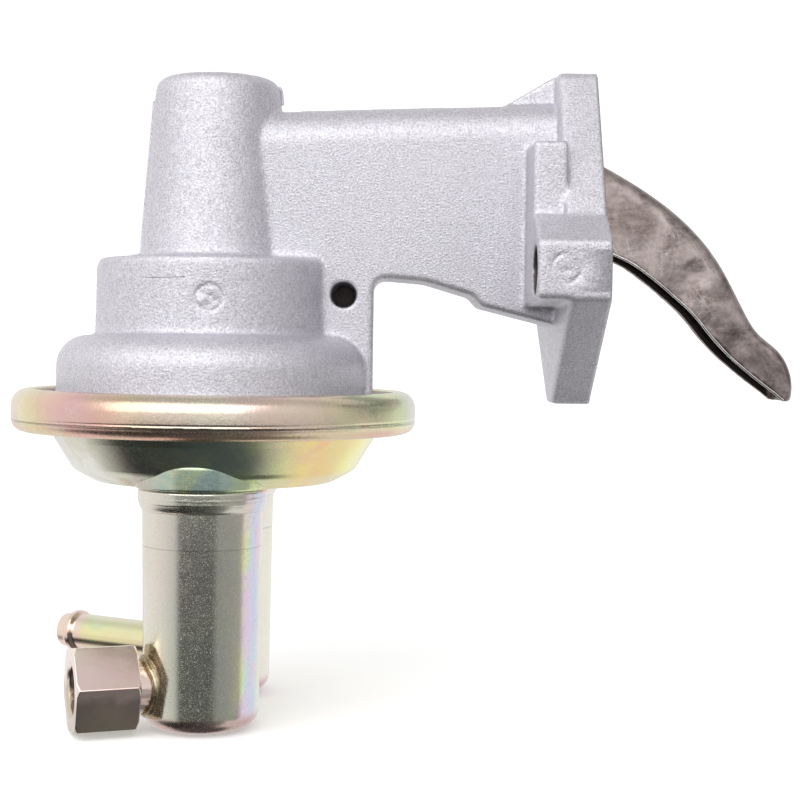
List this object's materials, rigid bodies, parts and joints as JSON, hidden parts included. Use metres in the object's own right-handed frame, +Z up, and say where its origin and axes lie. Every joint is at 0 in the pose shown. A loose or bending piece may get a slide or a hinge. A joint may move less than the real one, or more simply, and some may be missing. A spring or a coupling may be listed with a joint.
{
  "type": "mechanical fuel pump",
  "caption": "Mechanical diaphragm fuel pump with a cast two-bolt flanged housing, rocker arm, crimped bowl, two closed cans, flare outlet and hose inlet.",
  "frame": {"origin": "centre of the mounting face, midway between the two bolt holes", "axes": "+X is the outward normal of the mounting face, towards the engine; +Z points up the spring tower; +Y completes the set"},
  "size_m": [0.1911, 0.0986, 0.1576],
  "materials": {
    "cast_aluminium": "fine sandblasted die casting",
    "yellow_zinc": "iridescent yellow passivated zinc plate",
    "zinc_fitting": "pinkish yellow passivated zinc plate",
    "forged_steel": "mottled hardened sheet steel",
    "plain_steel": "ground steel",
    "spring_steel": "oiled spring wire",
    "bronze": "sintered bronze",
    "rubber": "matt oil-proof rubber",
    "diaphragm_cloth": "rubber-coated cloth",
    "valve_plastic": "matt fibre disc"
  },
  "bodies": {
    "housing": {"upper_housing": "cast_aluminium", "crimp_ring": "yellow_zinc", "fuel_cover": "yellow_zinc", "outlet_can": "yellow_zinc", "inlet_can": "yellow_zinc", "outlet_fitting": "zinc_fitting", "inlet_nipple": "zinc_fitting", "pivot_pin": "plain_steel", "pin_plug": "cast_aluminium", "front_thrust_washer": "plain_steel", "rear_thrust_washer": "plain_steel", "arm_return_spring": "spring_steel", "diaphragm_spring": "spring_steel", "diaphragm": "diaphragm_cloth", "rod_oil_seal": "rubber", "seal_retainer": "plain_steel", "outlet_valve_seat": "bronze", "outlet_valve_stem": "bronze", "outlet_valve_spring": "spring_steel", "inlet_valve_seat": "bronze", "inlet_valve_stem": "bronze", "inlet_valve_spring": "spring_steel"},
    "rocker": {"rocker_arm": "forged_steel", "arm_bushing": "bronze"},
    "link": {"link_lever": "forged_steel"},
    "pull_rod": {"pull_rod": "plain_steel", "spring_seat": "plain_steel", "upper_cup": "plain_steel", "lower_cup": "plain_steel", "rivet_washer": "plain_steel"},
    "outlet_valve": {"outlet_valve_disc": "valve_plastic"},
    "inlet_valve": {"inlet_valve_disc": "valve_plastic"}
  },
  "joints": [
    {"name": "rocker_swing", "type": "hinge", "parent": "housing", "child": "rocker", "pos_m": [-0.0112, 0, 0.0213], "axis": [0, 1, 0], "range_deg": [0, 4.5], "stiffness_Nm_per_rad": 12, "springref_deg": -4.58, "deforming": ["arm_return_spring"]},
    {"name": "link_swing", "type": "hinge", "parent": "housing", "child": "link", "pos_m": [-0.0112, 0, 0.0213], "axis": [0, 1, 0], "range_deg": [0, 4.51]},
    {"name": "diaphragm_stroke", "type": "slide", "parent": "housing", "child": "pull_rod", "axis": [0, 0, 1], "range_m": [0, 0.00634], "deforming": ["diaphragm_spring", "diaphragm"]},
    {"name": "outlet_valve_lift", "type": "slide", "parent": "housing", "child": "outlet_valve", "axis": [0, 0, -1], "range_m": [0, 0.0016], "stiffness_N_per_m": 40, "springref_m": -0.002, "deforming": ["outlet_valve_spring"]},
    {"name": "inlet_valve_lift", "type": "slide", "parent": "housing", "child": "inlet_valve", "axis": [0, 0, 1], "range_m": [0, 0.0016], "stiffness_N_per_m": 40, "springref_m": -0.002, "deforming": ["inlet_valve_spring"]}
  ],
  "couplings": [
    {"joint": "link_swing", "follows": "rocker_swing", "ratio": 1},
    {"joint": "diaphragm_stroke", "follows": "rocker_swing", "m_per_rad": 0.08055}
  ]
}
